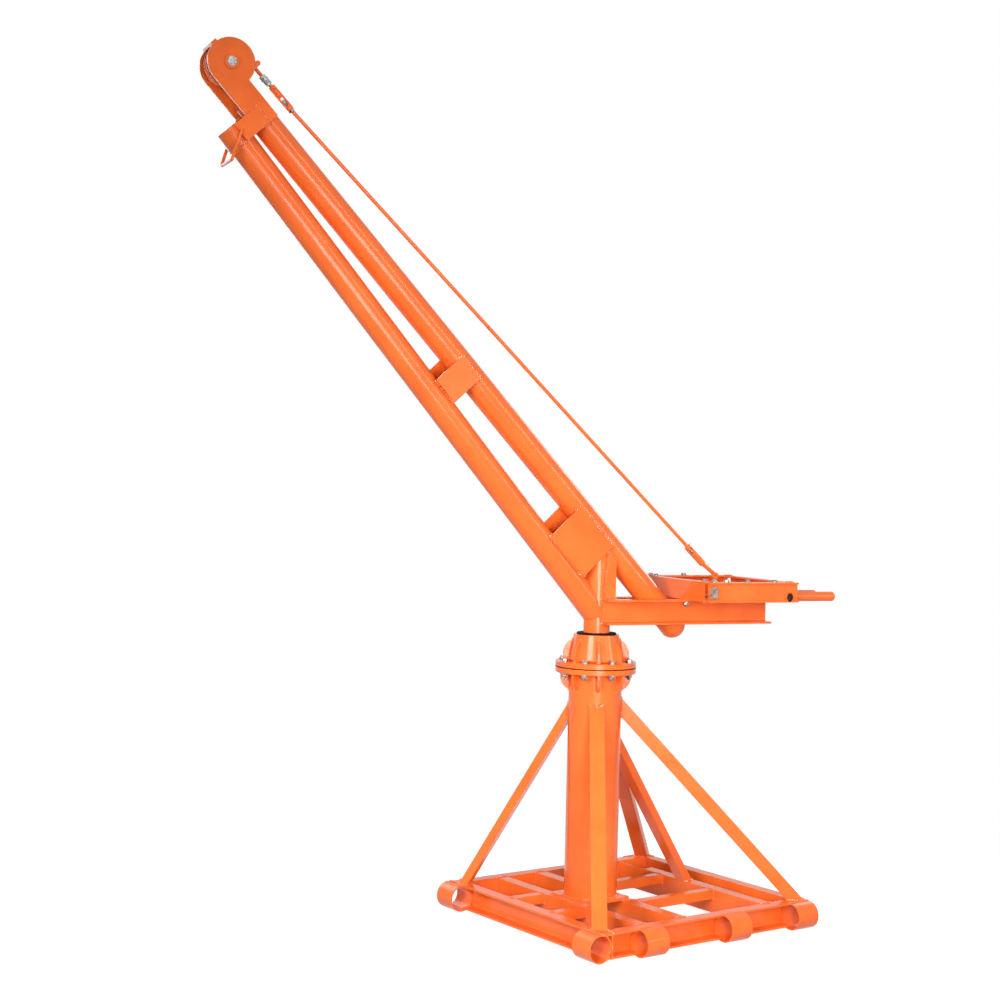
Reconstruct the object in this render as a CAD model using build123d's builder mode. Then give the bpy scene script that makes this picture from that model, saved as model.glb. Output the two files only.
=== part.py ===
from build123d import *
import os
from math import cos, radians, sin, sqrt, tan

# Small hand-slewed workshop crane: a channel frame on pipe sleeves, a braced
# mast, a bolted slewing head, and a twin-tube jib with a sheave and a tray.
# Millimetres, +Z up, origin on the ground under the middle of the mast.
os.makedirs("parts", exist_ok=True)

# Ground frame of rolled channels, flanges turned outwards
channel_height = 80.0
channel_width = 43.0
channel_web = 5.0
channel_flange = 7.0
channel_root = 5.0
frame_left = -431.0
frame_right = 405.0
frame_front = -275.0
frame_back = 617.0
bearer_front_y = -105.0
bearer_middle_y = 62.0
bearer_rear_y = 440.0
bearer_cutback = 147.0

# Angle iron ties between the channels
tie_leg = 32.0
tie_thickness = 4.0
front_tie_left_x = -112.0
front_tie_right_x = 112.0
rear_tie_left_x = -133.0
rear_tie_right_x = 131.0

# Pipe used for the leg sleeves, the column and both jib tubes
pipe_outer = 88.9
pipe_wall = 4.0
sleeve_length = 88.0
sleeve_front_middle_y = -132.0
sleeve_rear_middle_y = 225.0

# Mast and its square foot plate
plate_width = 190.0
plate_thickness = 10.0
mast_outer = 177.8
mast_wall = 6.0
mast_top = 845.0

# Struts of rectangular hollow section, the broad face outwards
strut_width = 50.0
strut_depth = 28.0
turned_strut_depth = 43.0
strut_wall = 2.5
strut_foot_left = (-387.0, -261.0)
strut_foot_front = (358.0, -250.0)
strut_foot_right = (388.0, 612.0)
strut_foot_back = (-420.0, 596.0)
strut_foot_rear = (-41.0, 472.0)
strut_top_left = 735.0
strut_top_front = 742.0
strut_top_right = 760.0
strut_top_back = 745.0
strut_top_rear = 640.0

# Bolted flange pair and welded ribs under and over it
flange_outer = 270.0
flange_thickness = 19.0
flange_bore = 120.0
flange_edge = 1.2
bolt_circle = 235.0
bolt_hole = 14.0
bolt_count = 8
rib_count = 8
rib_thickness = 8.0
rib_heading = -34.0
mast_rib_reach = 118.0
mast_rib_drop = 59.0
mast_rib_straight = 17.0
head_rib_reach = 111.0
head_rib_rise = 73.0
head_rib_straight = 22.0

# Slewing head: a cone that houses the bearing, and the seal on top of it
housing_foot = 188.0
housing_crown = 151.0
housing_height = 89.5
housing_rounding = 7.0
shaft_seat = 8.0
running_gap = 0.3
seal_outer = 133.0
seal_height = 6.0
seal_rounding = 2.0

# Jib, which points to slew_angle and lies in the upright plane through the mast
slew_angle = 258.2
lower_tube_angle = 49.06
lower_tube_foot = (-118.1, 900.0)
lower_tube_inset = 1.5
upper_tube_angle = 46.5
upper_tube_foot = (-384.3, 900.0)
upper_tube_start = 128.0
upper_tube_short = 123.0
cap_bulge = 34.0

# Flat plates welded on both sides of the tubes
plate_gauge = 6.0
lower_plate_start = 512.0
lower_plate_length = 181.0
lower_plate_top = 0.0
lower_plate_drop = 152.0
upper_plate_start = 1244.0
upper_plate_length = 95.0
upper_plate_top = 9.0
upper_plate_drop = 122.0
far_plate_shift = 18.0
gusset_left = -2.0
gusset_lean = 12.0
gusset_right = -43.0
gusset_top = 1253.0
gusset_slope = 0.6

# Jib head: two cheeks, the sheave on its pin, a strap round the lower tube
cheek_gauge = 8.0
cheek_radius = 74.0
sheave_along = 2489.0
sheave_above = 24.2
neck_back = 208.0
neck_low = -49.0
neck_high = 31.0
strap_length = 62.0
strap_gauge = 12.0
strap_top = -4.0
strap_wrap = 3.0
weld_sink = 0.5
pin_diameter = 30.0
pin_boss = 46.0
pin_boss_height = 7.0
pin_proud = 2.0
sheave_radius = 69.0
sheave_width = 28.0
groove_radius = 6.0
groove_depth = 12.0
groove_flare = 20.0
sheave_rim = 18.0
sheave_web = 10.0
sheave_hub = 52.0
hub_gap = 0.5
guard_width = 20.0
guard_thickness = 8.0
guard_bearing = 44.0
anchor_bar = 16.0
anchor_bearing = 176.5

# Drop ring for the rope end, hung in the strap plates
ring_rod = 10.0
ring_back = 172.2
ring_above = -92.8
ring_drop = 96.0
ring_tilt = 16.9
ring_side_gap = 0.6
ring_bend = 7.0

# Beams that carry the ballast tray
beam_height = 84.0
beam_front = 5.0
beam_back = -633.0
beam_bottom = 1008.0
beam_gap = 0.2

# Ballast tray of lighter channel, webs outwards
tray_height = 67.0
tray_flange_width = 30.0
tray_web = 4.5
tray_flange = 6.0
tray_lip = 8.0
tray_inner_end = -292.0
tray_outer_end = -640.0
tray_near_side = 241.0
tray_far_side = -227.0
near_slot_at = (-310.0, 1124.0)
near_slot_size = (33.0, 44.0)
near_hole_at = (-606.0, 1109.0)
near_hole_size = (25.0, 30.0)
socket_wall = 2.0
tray_bearer_width = 50.0
tray_bearer_thickness = 6.0
tray_bearer_inner = -352.0
tray_bearer_outer = -560.0

# Push bars
bar_diameter = 33.0
bar_inset = 45.0
bar_reach = -818.0
second_bar_short = 16.0
second_bar_side = 100.0

# Stay over the jib
stay_rod_diameter = 12.0
stay_pin_drop = (-126.0, -28.1)
turnbuckle_top_run = (-82.0, -88.0)
turnbuckle_low_end = (-351.0, 1261.0)
stay_eye = (-456.0, 1168.0)
fork_length = 24.0
rod_bend = 300.0
turnbuckle_width = 25.0
turnbuckle_bar = 6.0
turnbuckle_nut = 18.0
rod_engagement = 26.0
anchor_strap_width = 22.0
anchor_strap_gauge = 10.0
link_pin = 9.0
fork_gauge = 4.0
eye_ring = 18.0
eye_wire = 7.0
eye_shank = 8.0

# Directions and levels that follow from the sizes above
up = Vector(0, 0, 1)
head = Vector(cos(radians(slew_angle)), sin(radians(slew_angle)), 0)
near = Vector(-head.Y, head.X, 0)
pipe_radius = pipe_outer / 2
channel_bottom = pipe_outer - channel_height
frame_top = channel_bottom + channel_height
left_web_x = frame_left + channel_width
right_web_x = frame_right - channel_width
front_web_y = frame_front + channel_width
back_web_y = frame_back - channel_width
mast_foot = frame_top + plate_thickness
mast_radius = mast_outer / 2
joint_level = mast_top + flange_thickness
housing_bottom = joint_level + flange_thickness
housing_top = housing_bottom + housing_height
shaft_bottom = housing_bottom + shaft_seat
shaft_bore = pipe_radius + running_gap
beam_top = beam_bottom + beam_height
beam_side = pipe_radius + beam_gap
upper_tube_end = sheave_along - upper_tube_short
neck_start = sheave_along - neck_back
ring_along = sheave_along - ring_back
boom = Plane(origin=(0, 0, 0), x_dir=head, z_dir=near * -1)
level = Plane(origin=(0, 0, 0), x_dir=head, z_dir=up)


def place(point, side=0.0):
    """World point of (reach, height) in the jib plane, moved sideways to the near side."""
    return head * point[0] + up * point[1] + near * side


def slanted(angle):
    """World direction in the jib plane, angle degrees above level towards the head."""
    return head * cos(radians(angle)) + up * sin(radians(angle))


lower_axis = slanted(lower_tube_angle)
upper_axis = slanted(upper_tube_angle)
lower_tube = Plane(origin=place(lower_tube_foot), x_dir=near, z_dir=lower_axis)
upper_tube = Plane(origin=place(upper_tube_foot), x_dir=near, z_dir=upper_axis)
upper_side = Plane(origin=place(upper_tube_foot), x_dir=upper_axis, z_dir=near * -1)
upper_cross = slanted(upper_tube_angle + 90)
sheave_centre = place(upper_tube_foot) + upper_axis * sheave_along + upper_cross * sheave_above
ring_centre = place(upper_tube_foot) + upper_axis * ring_along + upper_cross * ring_above


def save(piece, name):
    """Label one finished piece and write it under its node name."""
    piece.label = name
    export_step(piece, f"parts/{name}.step")


def channel(section, length, height, width, web, flange, root):
    """Rolled channel: back of the web on local x = 0, flanges towards +x, bottom on y = 0."""
    with BuildPart() as bar:
        with BuildSketch(section):
            with BuildLine():
                Polyline(
                    (0, 0), (width, 0), (width, flange), (web, flange),
                    (web, height - flange), (width, height - flange), (width, height), (0, height),
                    close=True,
                )
            make_face()
        extrude(amount=length)
        inner = bar.edges().filter_by(Axis(section.origin, section.z_dir)).sort_by_distance(
            section.origin + section.x_dir * web + up * (height / 2)
        )[:2]
        fillet(inner, root)
    return bar.part


def frame_channel(corner, toward, length):
    """Frame channel whose web stands on corner and whose flanges point toward a side."""
    open_side = Vector(*toward, 0)
    section = Plane(origin=(*corner, channel_bottom), x_dir=open_side, z_dir=open_side.cross(up))
    return channel(section, length, channel_height, channel_width, channel_web,
                   channel_flange, channel_root)


def pipe(section, length, outer=pipe_outer, wall=pipe_wall):
    """Round tube that starts on a plane and runs along its normal."""
    with BuildPart() as tube:
        with BuildSketch(section):
            Circle(outer / 2)
            Circle(outer / 2 - wall, mode=Mode.SUBTRACT)
        extrude(amount=length)
    return tube.part


# Leg sleeves lie in the channels against their webs
sleeve_axis_height = pipe_radius
front_axis_y = front_web_y - channel_web - pipe_radius
right_axis_x = right_web_x + channel_web + pipe_radius
left_axis_x = left_web_x - channel_web - pipe_radius
sleeve_planes = {
    "sleeve_left": Plane(origin=(frame_left - channel_web, front_axis_y, sleeve_axis_height),
                         x_dir=(0, 1, 0), z_dir=(1, 0, 0)),
    "sleeve_front": Plane(origin=(frame_right - sleeve_length, front_axis_y, sleeve_axis_height),
                          x_dir=(0, 1, 0), z_dir=(1, 0, 0)),
    "sleeve_front_middle": Plane(origin=(right_axis_x, sleeve_front_middle_y, sleeve_axis_height),
                                 x_dir=(-1, 0, 0), z_dir=(0, 1, 0)),
    "sleeve_rear_middle": Plane(origin=(right_axis_x, sleeve_rear_middle_y, sleeve_axis_height),
                                x_dir=(-1, 0, 0), z_dir=(0, 1, 0)),
    "sleeve_right": Plane(origin=(right_axis_x, frame_back - sleeve_length, sleeve_axis_height),
                          x_dir=(-1, 0, 0), z_dir=(0, 1, 0)),
    "sleeve_back": Plane(origin=(left_axis_x, frame_back - sleeve_length, sleeve_axis_height),
                         x_dir=(-1, 0, 0), z_dir=(0, 1, 0)),
}
for sleeve_name, sleeve_plane in sleeve_planes.items():
    with BuildPart() as sleeve:
        add(pipe(sleeve_plane, sleeve_length))
    save(sleeve.part, sleeve_name)


def sleeve_room(name):
    """Solid the size of a sleeve, which notches the channel flanges round it."""
    with BuildPart() as room:
        with BuildSketch(sleeve_planes[name]):
            Circle(pipe_radius)
        extrude(amount=sleeve_length)
    return room.part


# Outer channels of the ground frame
with BuildPart() as channel_front_left:
    add(frame_channel((frame_right, front_web_y), (0, -1), frame_right - frame_left))
    add(sleeve_room("sleeve_left"), mode=Mode.SUBTRACT)
    add(sleeve_room("sleeve_front"), mode=Mode.SUBTRACT)
save(channel_front_left.part, "channel_front_left")

with BuildPart() as channel_front_right:
    add(frame_channel((right_web_x, frame_back), (1, 0), frame_back - front_web_y))
    for sleeve_name in ("sleeve_front_middle", "sleeve_rear_middle", "sleeve_right"):
        add(sleeve_room(sleeve_name), mode=Mode.SUBTRACT)
save(channel_front_right.part, "channel_front_right")

with BuildPart() as channel_back_left:
    add(frame_channel((left_web_x, front_web_y), (-1, 0), frame_back - front_web_y))
    add(sleeve_room("sleeve_back"), mode=Mode.SUBTRACT)
save(channel_back_left.part, "channel_back_left")

with BuildPart() as channel_back_right:
    add(frame_channel((left_web_x, back_web_y), (0, 1), right_web_x - left_web_x))
save(channel_back_right.part, "channel_back_right")

# Bearers across the frame, all opening to the back
bearer_span = right_web_x - left_web_x
with BuildPart() as bearer_front:
    add(frame_channel((left_web_x, bearer_front_y), (0, 1), bearer_span))
save(bearer_front.part, "bearer_front")

with BuildPart() as bearer_middle:
    add(frame_channel((left_web_x, bearer_middle_y), (0, 1), bearer_span))
save(bearer_middle.part, "bearer_middle")

with BuildPart() as bearer_rear:
    add(frame_channel((left_web_x, bearer_rear_y), (0, 1), bearer_span))
    with BuildSketch(Plane.XY.offset(frame_top)):
        with Locations((left_web_x, bearer_rear_y + channel_web)):
            Rectangle(bearer_cutback, channel_width, align=(Align.MIN, Align.MIN))
    extrude(amount=-channel_flange - channel_root, mode=Mode.SUBTRACT)
save(bearer_rear.part, "bearer_rear")


def angle_tie(face_x, start_y, end_y):
    """Angle iron along Y: upright leg with its face on face_x, top leg towards -X."""
    section = Plane(origin=(face_x, start_y, frame_top), x_dir=(-1, 0, 0), z_dir=(0, 1, 0))
    with BuildPart() as tie:
        with BuildSketch(section):
            with BuildLine():
                Polyline(
                    (0, 0), (tie_leg, 0), (tie_leg, -tie_thickness), (tie_thickness, -tie_thickness),
                    (tie_thickness, -tie_leg), (0, -tie_leg), close=True,
                )
            make_face()
        extrude(amount=end_y - start_y)
    return tie.part


with BuildPart() as angle_ties:
    for tie_x in (front_tie_left_x, front_tie_right_x):
        add(angle_tie(tie_x, front_web_y, bearer_front_y))
    for tie_x in (rear_tie_left_x, rear_tie_right_x):
        add(angle_tie(tie_x, bearer_middle_y + channel_width, bearer_rear_y))
save(angle_ties.part, "angle_ties")

# Mast on its foot plate
with BuildPart() as mast_plate:
    with BuildSketch(Plane.XY.offset(frame_top)):
        RectangleRounded(plate_width, plate_width, plate_thickness)
    extrude(amount=plate_thickness)
save(mast_plate.part, "mast_plate")

with BuildPart() as mast:
    add(pipe(Plane.XY.offset(mast_foot), mast_top - mast_foot, mast_outer, mast_wall))
save(mast.part, "mast")


def strut(foot, top_height, width=strut_width, depth=strut_depth):
    """Box strut from the frame top to the mast, cut level below and coped on the mast."""
    outwards = Vector(foot[0], foot[1], 0).normalized()
    foot_reach = Vector(foot[0], foot[1], 0).length
    run = foot_reach - mast_radius
    rise = top_height - frame_top
    along = (up * rise - outwards * run).normalized()
    outer_point = outwards * foot_reach + up * frame_top
    inwards = along.cross(up.cross(outwards)).normalized()
    if inwards.dot(outwards) > 0:
        inwards = inwards * -1
    spare = 2 * (width + depth)
    centre = outer_point + inwards * (depth / 2) - along * spare
    section = Plane(origin=centre, x_dir=up.cross(outwards), z_dir=along)
    with BuildPart() as box:
        with BuildSketch(section):
            RectangleRounded(width, depth, strut_wall)
            offset(amount=-strut_wall, mode=Mode.SUBTRACT)
        extrude(amount=sqrt(run ** 2 + rise ** 2) + 2 * spare)
        with Locations(Location((0, 0, frame_top))):
            Box(4 * foot_reach, 4 * foot_reach, 4 * spare,
                align=(Align.CENTER, Align.CENTER, Align.MAX), mode=Mode.SUBTRACT)
        with BuildSketch(Plane(origin=(0, 0, frame_top), x_dir=outwards, z_dir=up)):
            Circle(mast_radius)
            Rectangle(foot_reach, mast_outer, align=(Align.MAX, Align.CENTER))
        extrude(amount=2 * mast_top, mode=Mode.SUBTRACT)
    return box.part


with BuildPart() as strut_left:
    add(strut(strut_foot_left, strut_top_left))
save(strut_left.part, "strut_left")

with BuildPart() as strut_front:
    add(strut(strut_foot_front, strut_top_front))
save(strut_front.part, "strut_front")

with BuildPart() as strut_right:
    add(strut(strut_foot_right, strut_top_right, strut_depth, turned_strut_depth))
save(strut_right.part, "strut_right")

with BuildPart() as strut_back:
    add(strut(strut_foot_back, strut_top_back))
save(strut_back.part, "strut_back")

with BuildPart() as strut_rear:
    add(strut(strut_foot_rear, strut_top_rear))
save(strut_rear.part, "strut_rear")


# Bolted flange pair, with bolts midway between the ribs
def flange(bottom):
    """One ring of the bolted pair with its bolt holes and broken edges."""
    with BuildPart() as ring:
        with BuildSketch(Plane.XY.offset(bottom)):
            Circle(flange_outer / 2)
            Circle(flange_bore / 2, mode=Mode.SUBTRACT)
            with PolarLocations(bolt_circle / 2, bolt_count,
                                start_angle=rib_heading + 180 / rib_count):
                Circle(bolt_hole / 2, mode=Mode.SUBTRACT)
        extrude(amount=flange_thickness)
        rims = ring.edges().filter_by(GeomType.CIRCLE).filter_by(
            lambda rim: abs(rim.radius - flange_outer / 2) < flange_edge)
        chamfer(rims, flange_edge)
    return ring.part


with BuildPart() as mast_flange:
    add(flange(mast_top))
save(mast_flange.part, "mast_flange")

with BuildPart() as head_flange:
    add(flange(joint_level))
save(head_flange.part, "head_flange")


def rib_heads():
    """Upright planes through the mast axis, one for each rib, x outwards and y up."""
    for turn in range(rib_count):
        heading = radians(rib_heading + turn * 360 / rib_count)
        outwards = Vector(cos(heading), sin(heading), 0)
        yield Plane(origin=(0, 0, 0), x_dir=outwards, z_dir=outwards.cross(up))


with BuildPart() as mast_ribs:
    for rib_plane in rib_heads():
        with BuildSketch(rib_plane):
            with BuildLine():
                inner_low = (mast_radius - rib_thickness, mast_top - mast_rib_drop)
                outer_low = (mast_rib_reach, mast_top - mast_rib_straight)
                outer_high = (mast_rib_reach, mast_top)
                inner_high = (mast_radius - rib_thickness, mast_top)
                foot_point = (mast_radius, mast_top - mast_rib_drop)
                Polyline(outer_low, outer_high, inner_high, inner_low, foot_point)
                TangentArc(outer_low, foot_point, tangent=(0, -1))
            make_face()
        extrude(amount=rib_thickness / 2, both=True)
    Cylinder(mast_radius, 2 * mast_top, mode=Mode.SUBTRACT)
save(mast_ribs.part, "mast_ribs")

# Slewing head: cone with a blind bore for the column
with BuildPart() as bearing_housing:
    with BuildSketch(Plane.XZ):
        with BuildLine():
            Polyline(
                (0, housing_bottom), (housing_foot / 2, housing_bottom),
                (housing_crown / 2, housing_top), (shaft_bore, housing_top),
                (shaft_bore, shaft_bottom - running_gap), (0, shaft_bottom - running_gap),
                close=True,
            )
        make_face()
        crown = Vector(housing_crown / 2, 0, housing_top)
        fillet(vertices().sort_by_distance(crown)[0], housing_rounding)
    revolve(axis=Axis.Z)
save(bearing_housing.part, "bearing_housing")

with BuildPart() as bearing_ribs:
    for rib_plane in rib_heads():
        with BuildSketch(rib_plane):
            with BuildLine():
                root = housing_crown / 2 - 2 * rib_thickness
                slope = (housing_foot - housing_crown) / 2 / housing_height
                tip = (housing_foot / 2 - slope * head_rib_rise, housing_bottom + head_rib_rise)
                outer_high = (head_rib_reach, housing_bottom + head_rib_straight)
                outer_low = (head_rib_reach, housing_bottom)
                Polyline(tip, (root, tip[1]), (root, housing_bottom), outer_low, outer_high)
                TangentArc(outer_high, tip, tangent=(0, 1))
            make_face()
        extrude(amount=rib_thickness / 2, both=True)
    with BuildSketch(Plane.XZ):
        with BuildLine():
            Polyline(
                (0, housing_bottom), (housing_foot / 2, housing_bottom),
                (housing_crown / 2, housing_top), (0, housing_top), close=True,
            )
        make_face()
    revolve(axis=Axis.Z, mode=Mode.SUBTRACT)
save(bearing_ribs.part, "bearing_ribs")

with BuildPart() as seal_ring:
    with BuildSketch(Plane.XY.offset(housing_top)):
        Circle(seal_outer / 2)
        Circle(shaft_bore, mode=Mode.SUBTRACT)
    extrude(amount=seal_height)
    fillet(seal_ring.edges().group_by(Axis.Z)[-1].sort_by(SortBy.RADIUS)[-1], seal_rounding)
save(seal_ring.part, "seal_ring")

# Column: a pipe that turns in the housing and is coped under the upper tube
cope_length = 600.0
with BuildPart() as column:
    add(pipe(Plane.XY.offset(shaft_bottom), cope_length))
    with BuildSketch(upper_tube):
        Circle(pipe_radius)
        Rectangle(pipe_outer, cope_length, align=(Align.CENTER, Align.MIN))
    extrude(amount=2 * cope_length, mode=Mode.SUBTRACT)
save(column.part, "column")

# The lower tube as the upper one sees it: where the head strap meets it
lower_at_strap = lower_tube_foot[0] - upper_tube_foot[0]
tube_spread = lower_tube_angle - upper_tube_angle
strap_middle = neck_start + strap_length / 2
foot_along = lower_at_strap * cos(radians(upper_tube_angle))
foot_below = -lower_at_strap * sin(radians(upper_tube_angle))
wrap_below = foot_below + (strap_middle - foot_along) * tan(radians(tube_spread))
wrap_start = (neck_start - foot_along) / cos(radians(tube_spread))

# Lower jib tube, coped on the column and cut square under the head strap
lower_tube_reach = wrap_start + strap_length - lower_tube_inset
with BuildPart() as boom_lower:
    add(pipe(lower_tube, lower_tube_reach))
    with BuildSketch(Plane(origin=(0, 0, 0), x_dir=head, z_dir=up)):
        Circle(pipe_radius)
        Rectangle(cope_length, pipe_outer, align=(Align.MAX, Align.CENTER))
    extrude(amount=3 * cope_length, mode=Mode.SUBTRACT)
save(boom_lower.part, "boom_lower")

# Upper jib tube, which passes between the beams and ends in a domed cap
dome_radius = (pipe_radius ** 2 + cap_bulge ** 2) / (2 * cap_bulge)
with BuildPart() as boom_upper:
    add(pipe(upper_tube.offset(upper_tube_start), upper_tube_end - upper_tube_start))
    dome_side = Plane(origin=upper_tube.offset(upper_tube_start).origin,
                      x_dir=near, z_dir=upper_cross * -1)
    with BuildSketch(dome_side):
        with BuildLine():
            rim = (pipe_radius, 0)
            Line((0, 0), rim)
            RadiusArc(rim, (0, -cap_bulge), dome_radius)
            Line((0, -cap_bulge), (0, 0))
        make_face()
    revolve(axis=Axis(dome_side.origin, upper_axis))
save(boom_upper.part, "boom_upper")


def side_plates(start, length, top, drop):
    """A plate on each side of the tubes; the far one sits a little nearer the head."""
    with BuildPart() as pair:
        with BuildSketch(upper_side.offset(-pipe_radius)):
            with Locations((start, top)):
                Rectangle(length, drop, align=(Align.MIN, Align.MAX))
        extrude(amount=-plate_gauge)
        with BuildSketch(upper_side.offset(pipe_radius)):
            with Locations((start + far_plate_shift, top)):
                Rectangle(length, drop, align=(Align.MIN, Align.MAX))
        extrude(amount=plate_gauge)
    return pair.part


with BuildPart() as tie_plates_lower:
    add(side_plates(lower_plate_start, lower_plate_length, lower_plate_top, lower_plate_drop))
save(tie_plates_lower.part, "tie_plates_lower")

with BuildPart() as tie_plates_upper:
    add(side_plates(upper_plate_start, upper_plate_length, upper_plate_top, upper_plate_drop))
save(tie_plates_upper.part, "tie_plates_upper")

# Gusset strips that tie the column, the beams and the upper tube together
with BuildPart() as column_gussets:
    for side in (-1, 1):
        with BuildSketch(boom.offset(side * beam_side)):
            with BuildLine():
                Polyline(
                    (gusset_left, beam_top), (gusset_left - gusset_lean, gusset_top),
                    (gusset_right, gusset_top - (gusset_left - gusset_right) * gusset_slope),
                    (gusset_right, beam_top), close=True,
                )
            make_face()
        extrude(amount=side * plate_gauge)
save(column_gussets.part, "column_gussets")

# Head strap: a plate on each side and a half-round wrap under the lower tube
with BuildPart() as head_strap:
    for side in (-1, 1):
        with BuildSketch(upper_side.offset(side * pipe_radius)):
            with Locations((neck_start, strap_top)):
                Rectangle(strap_length, strap_top - wrap_below, align=(Align.MIN, Align.MAX))
            with Locations((ring_along, ring_above)):
                Circle(ring_rod / 2 + running_gap, mode=Mode.SUBTRACT)
        extrude(amount=side * strap_gauge)
    with BuildSketch(lower_tube.offset(wrap_start)):
        Circle(pipe_radius + strap_wrap)
        Circle(pipe_radius, mode=Mode.SUBTRACT)
        Rectangle(3 * pipe_outer, 3 * pipe_outer, align=(Align.CENTER, Align.MIN),
                  mode=Mode.SUBTRACT)
    extrude(amount=strap_length)
save(head_strap.part, "head_strap")

# Cheeks on both sides of the upper tube, joined by the rope guard and the stay bar
head_half = pipe_radius + cheek_gauge
with BuildPart() as head_cheeks:
    for side in (-1, 1):
        with BuildSketch(upper_side.offset(side * pipe_radius)):
            with Locations((sheave_along, sheave_above)):
                Circle(cheek_radius)
            with BuildLine():
                neck_side = sheave_above - cheek_radius
                Polyline(
                    (neck_start, strap_top), (neck_start, neck_high),
                    (sheave_along - cheek_radius, neck_high), (sheave_along, sheave_above),
                    (sheave_along, neck_side), (neck_start + strap_length, neck_low),
                    (neck_start + strap_length, strap_top), close=True,
                )
            make_face()
            with Locations((sheave_along, sheave_above)):
                Circle(pin_diameter / 2, mode=Mode.SUBTRACT)
        extrude(amount=side * cheek_gauge)
        with BuildSketch(upper_side.offset(side * head_half)):
            with Locations((sheave_along, sheave_above)):
                Circle(pin_boss / 2)
                Circle(pin_diameter / 2, mode=Mode.SUBTRACT)
        extrude(amount=side * pin_boss_height)
    guard_way = slanted(guard_bearing)
    guard_plane = Plane(origin=sheave_centre + guard_way * (cheek_radius - weld_sink),
                        x_dir=near, z_dir=guard_way)
    with BuildSketch(guard_plane):
        Rectangle(2 * head_half, guard_width)
    extrude(amount=guard_thickness)
    anchor_way = slanted(anchor_bearing)
    anchor_reach = cheek_radius + anchor_bar / 2 - weld_sink
    anchor_plane = Plane(origin=sheave_centre + anchor_way * anchor_reach - near * head_half,
                         x_dir=head, z_dir=near)
    with BuildSketch(anchor_plane):
        Circle(anchor_bar / 2)
    extrude(amount=2 * head_half)
save(head_cheeks.part, "head_cheeks")

# Sheave and its pin
pin_half = head_half + pin_boss_height + pin_proud
pin_plane = Plane(origin=sheave_centre - near * pin_half, x_dir=head, z_dir=near)
with BuildPart() as sheave_pin:
    with BuildSketch(pin_plane):
        Circle(pin_diameter / 2)
    extrude(amount=2 * pin_half)
    chamfer(sheave_pin.edges().filter_by(GeomType.CIRCLE), pin_proud / 2)
save(sheave_pin.part, "sheave_pin")

sheave_section = Plane(origin=sheave_centre, x_dir=upper_axis, z_dir=upper_axis.cross(near))
with BuildPart() as sheave:
    with BuildSketch(sheave_section):
        hub_half = pipe_radius - hub_gap
        half = sheave_width / 2
        rim_inner = sheave_radius - sheave_rim
        groove_foot = sheave_radius - groove_depth
        flare = groove_depth * tan(radians(groove_flare))
        bore = pin_diameter / 2 + running_gap
        with BuildLine():
            Polyline(
                (bore, -hub_half), (sheave_hub / 2, -hub_half), (sheave_hub / 2, -sheave_web / 2),
                (rim_inner, -sheave_web / 2), (rim_inner, -half), (sheave_radius, -half),
                (sheave_radius, -groove_radius - flare), (groove_foot, -groove_radius),
            )
            ThreePointArc((groove_foot, -groove_radius), (groove_foot - groove_radius, 0),
                          (groove_foot, groove_radius))
            Polyline(
                (groove_foot, groove_radius), (sheave_radius, groove_radius + flare),
                (sheave_radius, half), (rim_inner, half), (rim_inner, sheave_web / 2),
                (sheave_hub / 2, sheave_web / 2), (sheave_hub / 2, hub_half), (bore, hub_half),
                (bore, -hub_half),
            )
        make_face()
    revolve(axis=Axis(sheave_centre, near))
save(sheave.part, "sheave")

# Drop ring: bent rod whose ends turn into the strap plates
ring_side = pipe_radius + strap_gauge + ring_side_gap + ring_rod / 2
ring_end = pipe_radius + strap_wrap + ring_side_gap
hang = slanted(ring_tilt - 90)
ring_start = ring_centre + near * ring_end
ring_near = ring_centre + near * ring_side
ring_near_low = ring_near + hang * ring_drop
ring_far = ring_centre - near * ring_side
ring_far_low = ring_far + hang * ring_drop
ring_finish = ring_centre - near * ring_end
with BuildPart() as drop_ring:
    with BuildLine() as ring_path:
        Polyline(ring_start, ring_near, ring_near_low, ring_far_low, ring_far, ring_finish)
        corners = [
            corner for corner in ring_path.vertices()
            if (Vector(corner) - ring_near_low).length < 1 or (Vector(corner) - ring_far_low).length < 1
        ]
        fillet(corners, ring_bend)
    with BuildSketch(Plane(origin=ring_start, z_dir=near)):
        Circle(ring_rod / 2)
    sweep(path=ring_path.wires()[0], transition=Transition.RIGHT)
save(drop_ring.part, "drop_ring")

# Twin beams beside the column, open outwards
with BuildPart() as beams:
    near_section = Plane(origin=place((beam_front, beam_bottom), beam_side), x_dir=near,
                         z_dir=near.cross(up))
    far_section = Plane(origin=place((beam_back, beam_bottom), -beam_side), x_dir=near * -1,
                        z_dir=near.cross(up) * -1)
    beam_length = beam_front - beam_back
    add(channel(near_section.offset(-beam_length), beam_length, beam_height, channel_width,
                channel_web, channel_flange, channel_root))
    add(channel(far_section.offset(-beam_length), beam_length, beam_height, channel_width,
                channel_web, channel_flange, channel_root))
save(beams.part, "beams")


def tray_channel(start, web_face, toward, length):
    """Tray channel with its web outwards, from the jib-plane reach start."""
    origin = head * start + near * web_face + up * beam_top
    section = Plane(origin=origin, x_dir=toward, z_dir=toward.cross(up))
    return channel(section, length, tray_height, tray_flange_width, tray_web, tray_flange,
                   tray_flange / 2)


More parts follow.
